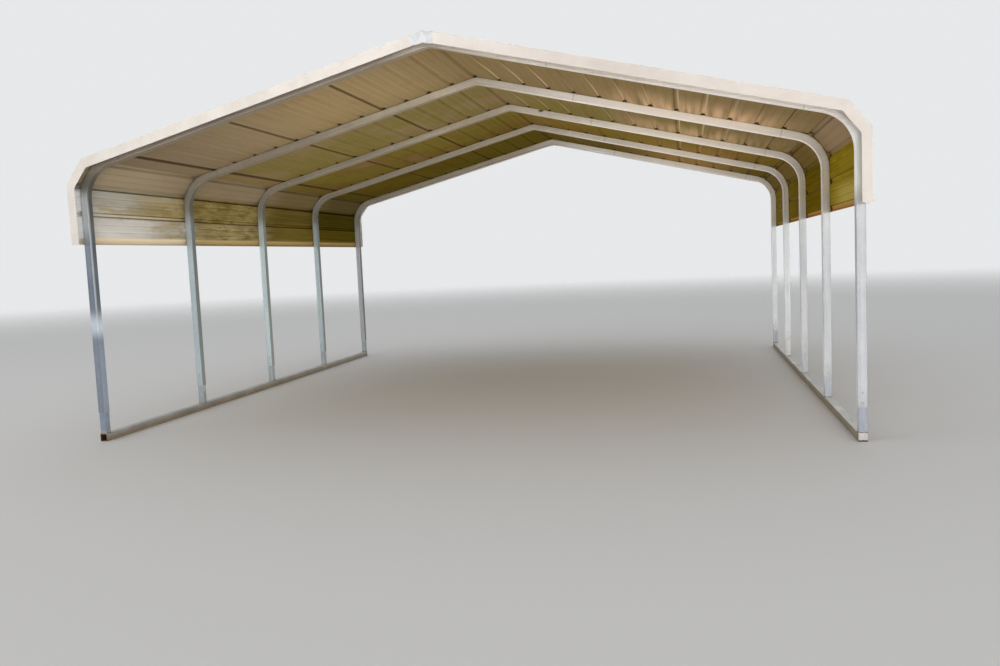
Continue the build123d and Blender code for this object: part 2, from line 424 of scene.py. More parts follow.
def rail_steel_finish():
    """Blue-grey zinc, with rust and soil low down and inside the open ends."""
    g = Graph("rail_steel")
    where = g.place()
    x, y, z = g.axes(where)
    streaks = g.noise(g.stretched(where, (60.0, 3.0, 14.0)), 1.0, 4.0, 0.65)
    blotches = g.noise(where, 4.0, 5.0, 0.6)
    shade = g.maths("MULTIPLY_ADD", blotches, 0.5, g.product(streaks, 0.5))
    color = g.mix(g.ramp(shade, 0.36, 0.7), rgb(0.36, 0.39, 0.45), rgb(0.53, 0.56, 0.62))
    on_rail = g.ramp(z, 0.072, 0.066)
    left_rail, right_rail = rail_tones(g, x, z)
    left_stub, right_stub = stub_tones(g, y, z)
    left_tone = g.mix(on_rail, left_stub, left_rail)
    right_tone = g.mix(on_rail, right_stub, right_rail)
    color = g.tone(color, g.mix(g.ramp(x, -0.5, 0.5), left_tone, right_tone), 1.0)
    soiled = g.ramp(g.noise(where, 12.0, 5.0, 0.7), 0.35, 0.7)
    color = g.coat(color, rgb(0.30, 0.21, 0.14), g.ramp(z, 0.060, 0.0), soiled, 0.75)
    near_end = g.ramp(g.maths("ABSOLUTE", y), 2.99, 3.085)
    rust = g.ramp(g.noise(where, 25.0, 5.0, 0.7), 0.42, 0.62)
    color = g.coat(color, rgb(0.20, 0.10, 0.05), near_end, g.ramp(z, 0.080, 0.055), rust, 0.85)
    off_middle = g.maths("ABSOLUTE", g.maths("SUBTRACT", g.maths("ABSOLUTE", x), LEG_X))
    off_height = g.maths("ABSOLUTE", g.maths("SUBTRACT", z, TUBE / 2))
    inside = g.maths("LESS_THAN", g.maths("MAXIMUM", off_middle, off_height), INSIDE_REACH)
    color = g.mix(inside, color, g.mix(rust, rgb(0.16, 0.055, 0.02), rgb(0.07, 0.03, 0.015)))
    return g.finish(color, g.ramp(shade, 0.3, 0.8, 0.6, 0.45), 0.1, g.bump(streaks, 0.12, 0.002))


# Paint, growth, and painted light and shade on the roof sheets.
HALF_HOLLOW = 0.026
WHOLE_BAYS = 8.0


class SheetPlace:
    """Where a point lies on the sheets: down the slope, on the eave flat or on the side."""

    def __init__(self, g):
        self.where = g.place()
        self.x, self.y, self.z = g.axes(self.where)
        across = g.maths("ABSOLUTE", self.x)
        self.right = g.maths("GREATER_THAN", self.x, 0.0)
        self.slope = g.ramp(across, UPPER_FOLD.x + 0.01, UPPER_FOLD.x - 0.01)
        self.wall = g.ramp(self.z, LOWER_FOLD.z + 0.012, LOWER_FOLD.z - 0.006)
        down_slope = g.product(across, 1.0 / math.cos(SLOPE))
        self.rib_count, self.off_rib = self.from_rib(g, down_slope, RIB_PITCH)
        down_wall = g.maths("SUBTRACT", LOWER_FOLD.z, self.z)
        self.off_wall_rib = self.from_rib(g, down_wall, WALL_PITCH)[1]
        normal = g.normal()
        outwards = math.radians(55.0)
        sideways = g.product(normal[0], g.maths("SIGN", self.x), math.sin(outwards))
        facing = g.maths("MULTIPLY_ADD", normal[2], math.cos(outwards), sideways)
        self.outside = g.maths("GREATER_THAN", facing, 0.0)

    def from_rib(self, g, distance, pitch):
        """How many pitches away a point is, and how far past the nearest rib's middle."""
        count = g.maths("DIVIDE", distance, pitch)
        share = g.maths("SUBTRACT", g.maths("FRACT", g.maths("ADD", count, 0.5)), 0.5)
        return count, g.product(share, pitch)


def bay_share(g, y, shift=0.0):
    """Share of a bay behind the last bow, or behind the middle of a bay with a shift of a half."""
    return g.maths("FRACT", g.maths("ADD", g.maths("DIVIDE", y, BAY), WHOLE_BAYS + shift))


def over_bow(g, y):
    """One over each bow's tube and a little behind it."""
    from_bow = g.product(g.maths("SUBTRACT", bay_share(g, y, 0.5), 0.5), BAY)
    return g.band(from_bow, -0.034, 0.05, 0.008)


def grained(g, color, grain):
    return g.tone(color, g.mix(g.ramp(grain, 0.3, 0.7), grey(0.96), grey(1.04)), 1.0)


def slope_growth(g, at):
    """Tan at the front, darker and more olive bay by bay towards the back."""
    front = g.mix(g.ramp(at.x, -0.7, 0.2), rgb(0.335, 0.247, 0.130), rgb(0.255, 0.186, 0.090))
    front = g.mix(g.ramp(at.x, -1.2, -2.6), front, rgb(0.250, 0.192, 0.124))
    second = rgb(0.235, 0.178, 0.088)
    third = g.mix(g.ramp(at.x, -0.4, 0.4), rgb(0.145, 0.096, 0.022), rgb(0.190, 0.118, 0.022))
    last = g.mix(g.ramp(at.x, -0.1, 0.5), rgb(0.088, 0.060, 0.007), rgb(0.125, 0.085, 0.020))
    color = g.mix(g.ramp(at.y, -2.1, -0.9), front, second)
    color = g.mix(g.ramp(at.y, -0.6, 0.8), color, third)
    color = g.mix(g.ramp(at.y, 0.8, 2.2), color, last)
    clouds = g.noise(g.stretched(at.where, (1.1, 0.8, 1.1)), 1.4, 5.0, 0.62)
    fading = g.ramp(at.y, 2.2, 0.2, 0.35, 1.0)
    behind_front = g.ramp(at.y, -2.0, -0.6)
    color = g.coat(color, rgb(0.178, 0.148, 0.028), g.ramp(clouds, 0.62, 0.42), behind_front, fading, 0.6)
    brown = g.product(g.ramp(clouds, 0.52, 0.70), g.ramp(at.y, -3.0, -1.5, 0.25, 0.6), fading)
    color = g.mix(brown, color, rgb(0.25, 0.155, 0.075))
    return grained(g, color, g.noise(g.stretched(at.where, (9.0, 0.5, 9.0)), 2.0, 5.0, 0.6))


def yard_glow(g, at, color, bay):
    """Pale warm wash in front of each bow, on the right where light from the yard comes in."""
    streaks = g.ramp(g.noise(g.stretched(at.where, (16.0, 0.8, 16.0)), 1.0), 0.2, 0.7)
    place = g.product(g.band(at.x, 1.35, 2.60, 0.42), g.ramp(bay, 0.35, 1.0), g.ramp(at.y, 1.4, -1.2))
    color = g.coat(color, rgb(0.80, 0.53, 0.32), place, streaks, 0.92)
    back = g.product(g.band(at.x, 1.35, 2.45, 0.5), g.ramp(at.y, 0.3, 1.9))
    return g.coat(color, rgb(0.34, 0.21, 0.07), back, g.ramp(bay, 0.0, 0.7, 0.35, 1.0), 0.9)


def rib_lights(g, at, color, bay, sheet_share, in_hollow):
    """Painted light: paler hollows on the left, lifting their shade, and light caught by the ribs' flanks
    and hollows on the right.
    """
    left_hollow = g.product(in_hollow, g.ramp(at.x, 0.2, -0.2))
    upper_half = g.band(at.off_rib, -HALF_HOLLOW, -0.012, 0.002)
    color = g.tone(color, grey(1.12), left_hollow)
    color = g.tone(color, grey(1.20), left_hollow, upper_half)
    towards_front = g.ramp(at.y, 1.5, -1.0, 0.3, 1.0)
    outer_flank = g.band(at.off_rib, 0.013, HALF_HOLLOW, 0.002)
    shine = g.product(g.ramp(at.x, -0.2, 0.3, 0.05, 0.62), g.ramp(at.rib_count, 11.5, 8.5))
    shine = g.product(shine, g.ramp(at.rib_count, 7.3, 8.0, 0.1, 1.0), towards_front)
    color = g.coat(color, rgb(0.72, 0.58, 0.38), outer_flank, shine)
    # Near the ridge the light in the hollows runs aslant across them, brightest before each bow.
    off_gleam = g.maths("SUBTRACT", at.off_rib, g.ramp(bay, 0.0, 1.0, -0.034, -0.006))
    off_lap = g.less(g.product(g.band(sheet_share, 0.42, 0.58, 0.02), 0.7))
    gleam = g.product(g.band(off_gleam, -0.006, 0.006, 0.003), g.ramp(bay, 0.10, 0.90), off_lap)
    near_ridge = g.product(g.ramp(at.x, 0.10, 0.20), g.ramp(at.x, 1.85, 1.65))
    faint_behind = g.product(towards_front, g.ramp(at.y, -1.5, -1.3, 1.0, 0.6))
    return g.coat(color, rgb(0.62, 0.46, 0.28), gleam, near_ridge, faint_behind, 0.85)


def lap_lines(g, at, color, sheet_share):
    """Dark lines at the laps, on every fourth rib, dirt with painted shade of the lap's gap: thin near the
    ridge, strong by the eave.
    """
    from_lap = g.product(g.maths("SUBTRACT", sheet_share, 0.5), RIBS_PER_SHEET * RIB_PITCH)
    near_lap = g.band(from_lap, -0.06, 0.06, 0.01)
    right = g.product(at.right, g.band(at.off_rib, -0.019, -0.006, 0.004), g.ramp(at.rib_count, 5.0, 11.5))
    thin = g.product(g.band(at.off_rib, 0.019, 0.028, 0.002), 0.85)
    broad = g.product(g.ramp(at.rib_count, 9.0, 11.5), g.band(at.off_rib, 0.004, 0.027, 0.003))
    left = g.product(g.less(at.right), g.maths("MAXIMUM", thin, broad))
    off_ridge = g.ramp(at.rib_count, 0.4, 3.0)
    return g.coat(color, rgb(0.06, 0.036, 0.016), near_lap, g.maths("ADD", right, left), off_ridge, 0.88)


def slope_coating(g, at):
    """Inside of the slopes."""
    bay = bay_share(g, at.y)
    sheet_share = g.maths("FRACT", g.maths("ADD", g.maths("DIVIDE", at.rib_count, RIBS_PER_SHEET), 0.5))
    in_hollow = g.band(at.off_rib, -HALF_HOLLOW, HALF_HOLLOW, 0.003)
    color = yard_glow(g, at, slope_growth(g, at), bay)
    color = rib_lights(g, at, color, bay, sheet_share, in_hollow)
    # A dark line painted where the sheet meets the back of the front bow, dirt with painted contact shade.
    behind_bow = g.band(at.y, -3.09, -2.955, 0.015)
    color = g.coat(color, rgb(0.10, 0.068, 0.038), behind_bow, g.ramp(at.x, 1.2, 0.2), 0.75)
    color = lap_lines(g, at, color, sheet_share)
    # The hollow of a rib over a bow is painted dark, as painted shade.
    more_right = g.ramp(at.x, -0.3, 0.3, 0.7, 0.9)
    return g.coat(color, rgb(0.045, 0.028, 0.015), in_hollow, over_bow(g, at.y), more_right)


def eave_coating(g, at):
    """Inside of the flat over the bend: brown-grey, darker towards the back."""
    left = g.mix(g.ramp(at.y, -2.4, -1.4), rgb(0.355, 0.290, 0.195), rgb(0.258, 0.202, 0.128))
    left = g.mix(g.ramp(at.y, -0.2, 0.7), left, rgb(0.155, 0.115, 0.052))
    left = g.mix(g.ramp(at.y, 1.3, 2.2), left, rgb(0.100, 0.075, 0.028))
    right = g.mix(g.ramp(at.y, -2.3, -0.6), rgb(0.315, 0.228, 0.140), rgb(0.165, 0.112, 0.034))
    grain = g.noise(g.stretched(at.where, (8.0, 0.8, 8.0)), 2.0, 5.0, 0.6)
    return grained(g, g.mix(at.right, left, right), grain)


def left_wall_coating(g, at, soft, blots):
    """Grey-white in the first bay, blotched with olive from its middle on, dark olive at the back."""
    upper = g.ramp(at.z, 1.895, 1.925)
    clean = g.mix(g.ramp(at.z, 2.08, 1.80), rgb(0.52, 0.50, 0.45), rgb(0.87, 0.855, 0.835))
    clean = g.mix(g.ramp(soft, 0.62, 0.40, 0.0, 0.25), clean, rgb(0.40, 0.38, 0.33))
    clean = g.mix(g.ramp(at.y, -2.5, -1.8, 0.0, 0.55), clean, rgb(0.42, 0.38, 0.30))
    thick = g.ramp(blots, 0.35, 0.65)
    high_olive = g.mix(thick, rgb(0.20, 0.148, 0.040), rgb(0.34, 0.275, 0.115))
    thin_olive = g.mix(thick, rgb(0.29, 0.225, 0.095), rgb(0.44, 0.37, 0.20))
    high_olive = g.mix(g.ramp(at.y, -1.50, -1.65), high_olive, thin_olive)
    low_olive = g.mix(thick, rgb(0.21, 0.165, 0.055), rgb(0.42, 0.345, 0.18))
    # The olive starts farther forward high up, with a wandering edge that the top rib holds back.
    start = g.maths("MULTIPLY_ADD", upper, -0.50, -2.02)
    wander = g.product(g.maths("SUBTRACT", blots, 0.5), 2.8)
    near_rib = g.product(g.ramp(at.z, 2.14, 1.95, -0.5, 0.35), upper)
    reach = g.maths("ADD", g.maths("ADD", g.maths("SUBTRACT", at.y, start), wander), near_rib)
    color = g.mix(g.ramp(reach, -0.35, 0.85), clean, g.mix(upper, low_olive, high_olive))
    aged = g.maths("ADD", at.y, g.product(soft, 0.5))
    color = g.mix(g.ramp(aged, -0.1, 0.9), color, rgb(0.145, 0.108, 0.024))
    color = g.coat(color, rgb(0.185, 0.140, 0.030), g.ramp(aged, 0.4, 1.0), g.less(upper))
    old = g.mix(upper, rgb(0.105, 0.078, 0.008), rgb(0.068, 0.051, 0.006))
    return g.mix(g.ramp(aged, 1.2, 2.3), color, old)


def right_wall_coating(g, at, soft):
    """Olive-yellow growth, paler low down at the front and darker behind the second bow."""
    mustard = g.mix(g.ramp(soft, 0.3, 0.7), rgb(0.240, 0.174, 0.009), rgb(0.32, 0.245, 0.022))
    low_down = g.ramp(at.z, 1.92, 1.78)
    mustard = g.coat(mustard, rgb(0.51, 0.41, 0.115), low_down, g.ramp(at.y, -1.6, -2.3), 0.75)
    color = g.mix(g.ramp(at.y, -1.8, -1.2), mustard, rgb(0.155, 0.108, 0.006))
    return g.mix(g.ramp(at.y, 0.2, 2.2), color, rgb(0.225, 0.165, 0.024))


def wall_rib_lines(g, at, color):
    """Shade and light in the hollows of the side sheets' ribs."""
    hollow = g.band(at.off_wall_rib, -0.027, 0.027, 0.002)
    left_hollow = g.mix(g.ramp(at.z, 2.09, 2.11), rgb(1.0, 0.97, 0.92), rgb(0.72, 0.69, 0.58))
    color = g.tone(color, g.mix(at.right, left_hollow, rgb(1.25, 1.22, 1.15)), hollow)
    upper_flank = g.band(at.off_wall_rib, -0.028, -0.018, 0.002)
    lower_flank = g.band(at.off_wall_rib, 0.010, 0.028, 0.002)
    color = g.coat(color, rgb(0.09, 0.065, 0.02), at.right, upper_flank, 0.70)
    color = g.coat(color, rgb(0.74, 0.66, 0.48), at.right, lower_flank, 0.12)
    # On the left each hollow has two dark lines, and at the front a pale one between them.
    left = g.product(g.less(at.right), g.ramp(at.z, 1.73, 1.76))
    upper_line = g.band(at.off_wall_rib, -0.018, -0.010, 0.003)
    lower_line = g.band(at.off_wall_rib, 0.012, 0.020, 0.003)
    color = g.tone(color, rgb(0.52, 0.48, 0.40), left, g.maths("ADD", upper_line, lower_line))
    pale_line = g.product(g.band(at.off_wall_rib, -0.006, 0.008, 0.003), g.ramp(at.y, -1.3, -2.0))
    return g.coat(color, rgb(0.86, 0.79, 0.68), left, pale_line, g.ramp(at.z, 2.11, 2.09), 0.7)


def open_front_coating(g, at, color, open_front):
    """In front of the first bow the left side is painted near white, clean paint with painted light from the
    open front, with painted shade under the fold and a dark line along the rib.
    """
    color = g.coat(color, rgb(0.97, 0.98, 0.98), open_front, 0.95)
    color = g.coat(color, rgb(0.30, 0.27, 0.24), open_front, g.ramp(at.z, 2.085, 2.115), 0.7)
    dark_rib_line = g.band(at.off_wall_rib, -0.006, 0.002, 0.003)
    return g.coat(color, rgb(0.20, 0.18, 0.16), open_front, dark_rib_line, 0.75)


def hem_painted_light(g, at, color, open_front, soft):
    """Painted warm light from below on the side sheets' hem, browner towards the back."""
    left_hem = g.ramp(at.z, 1.738, 1.704)
    right_hem = g.ramp(at.z, 1.706, 1.700)
    front = g.mix(at.right, rgb(0.86, 0.74, 0.56), rgb(0.50, 0.275, 0.085))
    behind = g.mix(at.right, rgb(0.52, 0.40, 0.19), rgb(0.50, 0.26, 0.07))
    hem_light_color = g.mix(g.ramp(at.y, -1.7, -1.2), front, behind)
    hem_light_color = g.mix(g.ramp(at.y, -1.0, 3.0, 0.0, 0.7), hem_light_color, rgb(0.34, 0.22, 0.06))
    hem_light_color = g.mix(open_front, hem_light_color, rgb(0.90, 0.80, 0.66))
    return g.coat(color, hem_light_color, g.mix(at.right, left_hem, right_hem), g.ramp(soft, 0.2, 0.6, 0.75, 1.0))


def wall_coating(g, at):
    """Inside of the side sheets, with painted shade and light in the ribs and painted warm light on the hem.
    """
    soft = g.noise(g.stretched(at.where, (3.0, 1.0, 5.0)), 1.6, 5.0, 0.62)
    blots = g.noise(g.stretched(at.where, (4.0, 2.2, 11.0)), 1.7, 5.0, 0.62, 0.2)
    scratches = g.noise(g.stretched(at.where, (3.0, 0.7, 26.0)), 1.6, 4.0, 0.6)
    color = g.mix(at.right, left_wall_coating(g, at, soft, blots), right_wall_coating(g, at, soft))
    scratched = g.mix(g.ramp(scratches, 0.3, 0.7), grey(0.84), grey(1.13))
    color = g.tone(color, scratched, g.ramp(at.y, -2.8, -1.2, 0.25, 1.0))
    color = wall_rib_lines(g, at, color)
    open_front = g.product(g.ramp(at.y, -3.05, -3.10), g.ramp(at.x, 0.5, -0.5))
    color = open_front_coating(g, at, color, open_front)
    color = hem_painted_light(g, at, color, open_front, soft)
    # The hollow of a rib over a bow on the right is painted dark, as painted shade.
    in_hollow = g.band(at.off_wall_rib, -0.026, 0.020, 0.003)
    return g.coat(color, rgb(0.05, 0.035, 0.015), in_hollow, over_bow(g, at.y), at.right, 0.7)


def outside_paint(g, at):
    """Pale weathered paint, with dark lines along the feet of the ribs, dirt with painted shade."""
    mottle = g.ramp(g.noise(at.where, 9.0, 3.0), 0.3, 0.7)
    blotches = g.noise(at.where, 1.2, 5.0, 0.6)
    color = g.mix(mottle, rgb(0.73, 0.71, 0.64), rgb(0.78, 0.76, 0.69))
    color = g.mix(g.ramp(blotches, 0.48, 0.80, 0.0, 0.30), color, rgb(0.58, 0.56, 0.48))
    # Dirt with painted shade along the feet of the ribs.
    off_any_rib = g.maths("ABSOLUTE", g.mix(at.wall, at.off_rib, at.off_wall_rib))
    foot = g.product(g.band(off_any_rib, 0.028, 0.040, 0.006), g.maths("MAXIMUM", at.slope, at.wall))
    return g.coat(color, rgb(0.42, 0.40, 0.33), foot, g.ramp(blotches, 0.3, 0.7, 0.25, 0.65))


def sheet_paint():
    """Pale paint outside, duller beige coat inside with growth, dirt, and painted light and shade."""
    g = Graph("roof_sheet")
    at = SheetPlace(g)
    inside = g.mix(at.slope, eave_coating(g, at), slope_coating(g, at))
    inside = g.mix(at.wall, inside, wall_coating(g, at))
    color = g.mix(at.outside, inside, outside_paint(g, at))
    fine = g.noise(g.stretched(at.where, (6.0, 0.6, 6.0)), 2.0, 5.0, 0.6)
    roughness = g.ramp(fine, 0.2, 0.8, 0.55, 0.72)
    bump = g.bump(g.noise(at.where, 14.0, 3.0), 0.05, 0.003)
    return g.finish(color, roughness, 0.0, bump, specular=0.0)


# Materials of the trim and the small pieces.
def trim_paint():
    """Cream paint with faint waves and dirt, darker on the right as painted shade, bluish white on the short
    cap at the ridge.
    """
    g = Graph("edge_trim")
    where = g.place()
    x = g.axes(where)[0]
    fine = g.noise(where, 5.0, 5.0, 0.6)
    smears = g.noise(g.stretched(where, (14.0, 2.0, 3.0)), 2.0, 5.0, 0.65)
    color = g.mix(g.ramp(fine, 0.3, 0.7), rgb(0.625, 0.575, 0.525), rgb(0.70, 0.655, 0.605))
    color = g.mix(g.ramp(smears, 0.58, 0.80, 0.0, 0.30), color, rgb(0.56, 0.50, 0.42))
    # Painted shade on the right trims.
    color = g.tone(color, rgb(0.82, 0.80, 0.79), g.ramp(x, -0.3, 1.2))
    mottle = g.ramp(g.noise(where, 22.0, 4.0, 0.6), 0.35, 0.65)
    on_cap = g.band(x, -0.103, 0.074, 0.002)
    color = g.mix(on_cap, color, g.mix(mottle, rgb(0.505, 0.515, 0.53), rgb(0.625, 0.635, 0.65)))
    waves = g.noise(g.stretched(where, (3.0, 20.0, 20.0)), 1.0, 2.0)
    return g.finish(color, g.ramp(fine, 0.2, 0.8, 0.35, 0.5), 0.0, g.bump(waves, 0.08, 0.004))


def screw_metal():
    """Zinc-plated heads with brown staining round their feet."""
    g = Graph("screw_steel")
    where = g.place()
    mottle = g.noise(where, 180.0, 3.0)
    patches = g.noise(where, 3.0, 3.0)
    color = g.mix(g.ramp(mottle, 0.3, 0.7), rgb(0.42, 0.41, 0.38), rgb(0.66, 0.65, 0.62))
    color = g.mix(g.ramp(patches, 0.48, 0.66, 0.0, 0.8), color, rgb(0.26, 0.14, 0.08))
    return g.finish(color, g.ramp(mottle, 0.2, 0.8, 0.35, 0.6), 0.4, g.bump(mottle, 0.2, 0.0005))


def dull_zinc():
    """Zinc as on the bows, for the screws in their cheeks: pale on the right and dark on the left, with the
    bows' painted light and shade.
    """
    g = Graph("dull_zinc")
    where = g.place()
    x, _, z = g.axes(where)
    mottle = g.ramp(g.noise(where, 120.0, 3.0), 0.3, 0.7)
    right = g.mix(mottle, rgb(0.84, 0.80, 0.75), rgb(0.96, 0.93, 0.88))
    right_foot = g.mix(mottle, rgb(0.36, 0.37, 0.39), rgb(0.45, 0.46, 0.48))
    left = g.mix(mottle, grey(0.27), rgb(0.37, 0.38, 0.39))
    right = g.mix(g.ramp(z, 1.2, 0.8), right, right_foot)
    return g.finish(g.mix(g.ramp(x, 0.5, -0.5), right, left), 0.5, 0.1)


def weld_metal():
    """Weld beads gone brown, grey where the zinc spray still holds."""
    g = Graph("weld_rust")
    where = g.place()
    mottle = g.noise(where, 90.0, 5.0, 0.7)
    patches = g.noise(where, 22.0, 4.0, 0.6)
    color = g.mix(g.ramp(mottle, 0.35, 0.65), rgb(0.12, 0.065, 0.04), rgb(0.30, 0.20, 0.14))
    color = g.mix(g.ramp(patches, 0.50, 0.62), color, rgb(0.48, 0.49, 0.50))
    return g.finish(color, g.ramp(mottle, 0.2, 0.8, 0.6, 0.85), 0.1, g.bump(mottle, 0.4, 0.001))


def plate_metal():
    """Pale plate that closes a rail's end, dark along its lower edge with rust and painted shade of the gap
    beneath.
    """
    g = Graph("end_plate")
    where = g.place()
    z = g.axes(where)[2]
    mottle = g.noise(where, 40.0, 5.0, 0.65)
    color = g.mix(g.ramp(mottle, 0.3, 0.7), rgb(0.47, 0.46, 0.455), rgb(0.63, 0.61, 0.605))
    # Dark along the lower edge: rust with painted shade of the gap beneath.
    ragged_height = g.maths("ADD", z, g.product(mottle, 0.012))
    color = g.mix(g.ramp(ragged_height, 0.024, 0.016), color, rgb(0.10, 0.045, 0.02))
    return g.finish(color, g.ramp(mottle, 0.2, 0.8, 0.45, 0.7), 0.1, g.bump(mottle, 0.15, 0.001))


bow_metal = bow_steel()
rail_metal = rail_steel_finish()
roof_paint = sheet_paint()
pale_trim = trim_paint()
screw_steel = screw_metal()
cheek_screw = dull_zinc()
weld_rust = weld_metal()
plate_steel = plate_metal()


def dress(node, material):
    if not node.material_slots:
        node.data.materials.append(None)
    for slot in node.material_slots:
        slot.link = "OBJECT"
        slot.material = material


for name, node in nodes.items():
    if name.startswith(("bent_leg", "rafter", "peak")):
        dress(node, bow_metal)
    elif name.startswith(("base_rail", "stubs")):
        dress(node, rail_metal)
    elif name.startswith("roof_sheet"):
        dress(node, roof_paint)
    else:
        dress(node, pale_trim)


# Small pieces.
def add_piece(name, shape, material):
    mesh = bpy.data.meshes.new(name)
    bmesh.ops.recalc_face_normals(shape, faces=shape.faces)
    shape.to_mesh(mesh)
    shape.free()
    mesh.materials.append(material)
    piece = bpy.data.objects.new(name, mesh)
    bpy.context.scene.collection.objects.link(piece)
    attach(piece, "root")
    return piece


def skin(shape, rings):
    """Surface from ring to ring of points, closed at both ends."""
    rings = [[shape.verts.new(point) for point in ring] for ring in rings]
    for low, high in zip(rings, rings[1:]):
        for i in range(len(low)):
            j = (i + 1) % len(low)
            shape.faces.new((low[i], low[j], high[j], high[i]))
    shape.faces.new(rings[-1])
    shape.faces.new(list(reversed(rings[0])))


def lathe(shape, base, axis, profile, sides, turn=0.0):
    """Turned form from pairs of radius and height."""
    across = axis.orthogonal().normalized()
    other = axis.cross(across)
    rings = []
    for radius, height in profile:
        ring = []
        for i in range(sides):
            angle = turn + 2 * math.pi * i / sides
            reach = (across * math.cos(angle) + other * math.sin(angle)) * radius
            ring.append(base + axis * height + reach)
        rings.append(ring)
    skin(shape, rings)


WASHER = ((0.0078, -0.0004), (0.0080, 0.0010), (0.0072, 0.0018), (0.0048, 0.0022))
HEAD = ((0.0046, 0.0012), (0.0046, 0.0058), (0.0038, 0.0066))
FLANGE = ((0.0068, -0.0003), (0.0066, 0.0009), (0.0048, 0.0014))
FOOT_SIDES = 14
HEX = 6


def screw(shape, base, axis, rolls, foot=WASHER):
    """Hex head on a round foot, turned by chance."""
    lathe(shape, base, axis, foot, FOOT_SIDES)
    lathe(shape, base, axis, HEAD, HEX, rolls.uniform(0.0, 1.0))


BESIDE_RIB = 0.042
STITCH_SPACING = 0.60
STITCHES = 11
TRIM_SCREW_INSET = 0.026
TRIM_SCREW_FROM_RIDGE = 0.055


def sheet_screws(side, name):
    """Washered screws into each bow beside each rib, stitch screws along the laps, and trim screws."""
    rolls = random.Random(7 + side)
    shape = bmesh.new()
    places = [k * RIB_PITCH + BESIDE_RIB for k in range(SLOPE_RIBS)]
    places.append(SLOPE_LENGTH + HALF_FLAT)
    places += [WALL_START + k * WALL_PITCH + BESIDE_RIB for k in range(WALL_RIBS)]
    for y in BOW_YS:
        for place in places:
            base, axis = on_roof(side, y, place, SHEET)
            screw(shape, base, axis, rolls)
    for lap in range(RIBS_PER_SHEET, SLOPE_RIBS, RIBS_PER_SHEET):
        for i in range(STITCHES):
            y = (i - STITCHES // 2) * STITCH_SPACING
            base, axis = on_roof(side, y, lap * RIB_PITCH, RIB_HEIGHT + 2 * SHEET)
            screw(shape, base, axis, rolls)
    for end in SIDES:
        y = end * (HALF_ROOF - TRIM_SCREW_INSET)
        for k in range(1, SLOPE_RIBS + 1, 2):
            base, axis = on_roof(side, y, k * RIB_PITCH, TRIM_TOP)
            screw(shape, base, axis, rolls)
        base, axis = on_roof(side, y, TRIM_SCREW_FROM_RIDGE, TRIM_TOP + TRIM_SHEET)
        screw(shape, base, axis, rolls)
    add_piece(name, shape, screw_steel)


BESIDE_SPLICE = 0.035
ABOVE_LEG_FOOT = (0.030, 0.100)


def bow_screws():
    """Hex screws through the bows' cheeks beside each splice and above each leg's foot."""
    rolls = random.Random(21)
    shape = bmesh.new()
    for y in BOW_YS:
        for face in SIDES:
            axis = Vector((0.0, face, 0.0))
            cheek = y + face * TUBE / 2
            for side in SIDES:
                for splice in (PEAK_ARM, LOWER_SPLICE):
                    for away in (-BESIDE_SPLICE, BESIDE_SPLICE):
                        down = splice + away
                        x = side * down * math.cos(SLOPE)
                        z = RIDGE_Z - down * math.sin(SLOPE)
                        screw(shape, Vector((x, cheek, z)), axis, rolls, FLANGE)
                for rise in ABOVE_LEG_FOOT:
                    base = Vector((side * LEG_X, cheek, LEG_BOTTOM + rise))
                    screw(shape, base, axis, rolls, FLANGE)
    add_piece("bow_screws", shape, cheek_screw)


CORNER_EASE = 0.004
CORNER_POINTS = 5
CORNER_STEP = math.pi / 2 / (CORNER_POINTS - 1)


def eased_square(half):
    """Points of a square with rounded corners, each with the angle of its outward direction."""
    points = []
    for a, b in ((1, 1), (-1, 1), (-1, -1), (1, -1)):
        for i in range(CORNER_POINTS):
            angle = math.atan2(b, a) + (i - CORNER_POINTS // 2) * CORNER_STEP
            x = a * (half - CORNER_EASE) + CORNER_EASE * math.cos(angle)
            y = b * (half - CORNER_EASE) + CORNER_EASE * math.sin(angle)
            points.append((x, y, angle))
    return points


BEAD = 0.0048
BEAD_STEP = 0.0025
BEAD_POINTS = 5
BEAD_LEAN = math.pi / 2 / (BEAD_POINTS - 1)
BEAD_DISH = 0.25
LUMP_RATE = 420.0
LUMP_LEAST = 0.72
LUMP_SWELL = 0.30
LUMP_CHANCE = 0.08


def bead_path(half):
    """Places along a rounded square, each with its outward direction."""
    square = eased_square(half)
    path = []
    for (a, b, angle), (c, d, _) in zip(square, square[1:] + square[:1]):
        length = math.hypot(c - a, d - b)
        count = max(1, round(length / BEAD_STEP))
        out = (math.cos(angle), math.sin(angle)) if count == 1 else ((d - b) / length, (a - c) / length)
        for j in range(count):
            t = j / count
            path.append(((a + (c - a) * t, b + (d - b) * t), out))
    return path


def weld_loop(shape, centre, half, rolls):
    """Lumpy fillet round a square foot."""
    rows = []
    travelled = 0.0
    path = bead_path(half)
    last = path[0][0]
    for place, out in path:
        travelled += math.dist(place, last)
        last = place
        lump = LUMP_LEAST + LUMP_SWELL * abs(math.sin(travelled * LUMP_RATE))
        lump += rolls.uniform(-LUMP_CHANCE, LUMP_CHANCE)
        foot = centre + Vector((place[0], place[1], 0.0))
        row = []
        for k in range(BEAD_POINTS):
            lean = k * BEAD_LEAN
            spread = BEAD * lump * (1.0 - BEAD_DISH * math.sin(2 * lean))
            reach = spread * math.cos(lean)
            point = foot + Vector((out[0] * reach, out[1] * reach, spread * math.sin(lean)))
            row.append(shape.verts.new(point))
        rows.append(row)
    for low, high in zip(rows, rows[1:] + rows[:1]):
        for k in range(BEAD_POINTS - 1):
            shape.faces.new((low[k], high[k], high[k + 1], low[k + 1]))


def foot_welds():
    """Bead round the foot of each stub on its rail."""
    rolls = random.Random(5)
    shape = bmesh.new()
    for side in SIDES:
        for y in BOW_YS:
            weld_loop(shape, Vector((side * LEG_X, y, TUBE)), HALF_STUB, rolls)
    piece = add_piece("foot_welds", shape, weld_rust)
    piece.data.shade_smooth()


